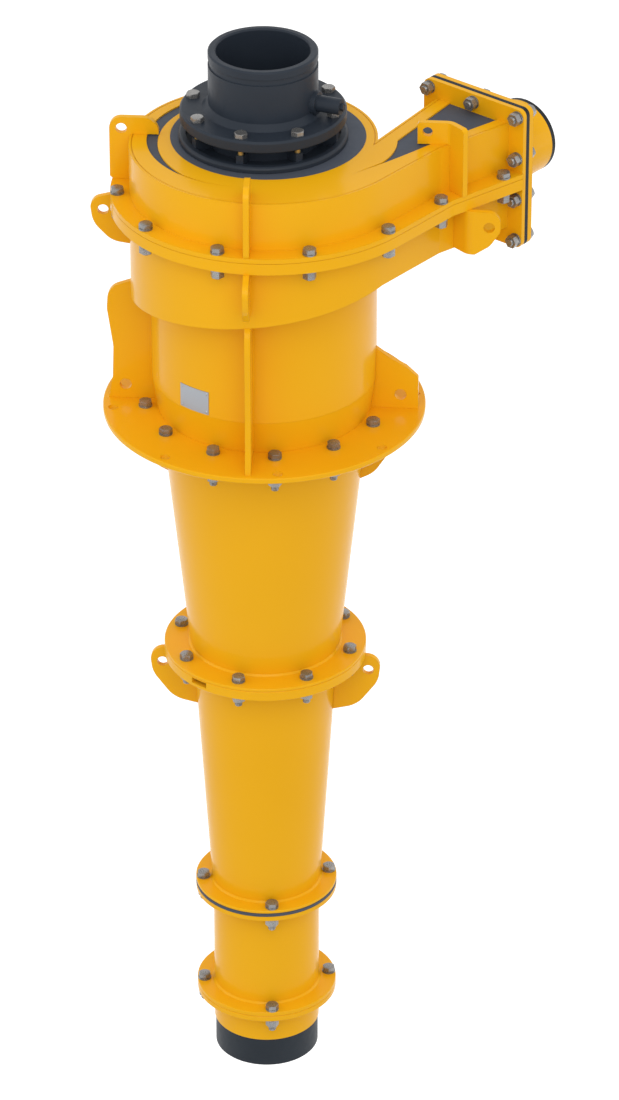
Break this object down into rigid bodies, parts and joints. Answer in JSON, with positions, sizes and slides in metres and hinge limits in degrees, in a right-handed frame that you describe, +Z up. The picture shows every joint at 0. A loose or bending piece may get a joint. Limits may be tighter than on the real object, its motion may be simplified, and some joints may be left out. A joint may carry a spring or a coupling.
{
  "type": "hydrocyclone",
  "caption": "Slurry hydrocyclone: rubber-lined scroll casing with tangential inlet stub, grooved overflow pipe on top, two long bolted cones, mounting flange and rubber spigot.",
  "frame": {"origin": "on the main axis at the underside of the mounting flange", "axes": "+Z up along the main axis toward the overflow pipe, +X the way the inlet stub points outward"},
  "size_m": [0.8551, 0.7349, 2.353],
  "materials": {
    "yellow_paint": "semi-gloss",
    "dark_paint": "semi-gloss",
    "lining_rubber": "satin",
    "black_rubber": "satin",
    "zinc_steel": "bright zinc",
    "plate_metal": "satin"
  },
  "bodies": {
    "root": {"barrel_skirt": "yellow_paint", "bottom_bolts": "zinc_steel", "bottom_nuts": "zinc_steel", "bottom_washers": "zinc_steel", "casing_ear_back": "yellow_paint", "casing_ear_duct": "yellow_paint", "casing_ear_front": "yellow_paint", "casing_ear_left": "yellow_paint", "cone_top_ear_left": "yellow_paint", "cone_top_ear_right": "yellow_paint", "cover_ring": "dark_paint", "gusset_back": "yellow_paint", "gusset_duct": "yellow_paint", "gusset_front": "yellow_paint", "gusset_left": "yellow_paint", "housing_liner": "lining_rubber", "inlet_bolts": "zinc_steel", "inlet_liner": "black_rubber", "inlet_nuts": "zinc_steel", "inlet_stub": "yellow_paint", "inlet_washers": "zinc_steel", "lift_lug_back": "yellow_paint", "lift_lug_duct": "yellow_paint", "lift_lug_front": "yellow_paint", "lift_lug_left": "yellow_paint", "lower_bolts": "zinc_steel", "lower_casing": "yellow_paint", "lower_cone": "yellow_paint", "lower_cone_liner": "lining_rubber", "lower_liner": "lining_rubber", "lower_nuts": "zinc_steel", "lower_washers": "zinc_steel", "mid_bolts": "zinc_steel", "mid_ear_left": "yellow_paint", "mid_ear_right": "yellow_paint", "mid_nuts": "zinc_steel", "mid_washers": "zinc_steel", "mounting_bolts": "zinc_steel", "mounting_flange": "yellow_paint", "mounting_nuts": "zinc_steel", "mounting_washers": "zinc_steel", "name_plate": "plate_metal", "name_plate_rivets": "plate_metal", "overflow_bolts": "zinc_steel", "overflow_pipe": "dark_paint", "spigot": "black_rubber", "spigot_clamp_ring": "yellow_paint", "spigot_housing": "yellow_paint", "split_bolts": "zinc_steel", "split_nuts": "zinc_steel", "split_washers": "zinc_steel", "upper_casing": "yellow_paint", "upper_cone": "yellow_paint", "upper_cone_liner": "lining_rubber", "upper_liner": "lining_rubber", "vent_plug": "dark_paint", "vortex_finder": "dark_paint"}
  },
  "joints": []
}
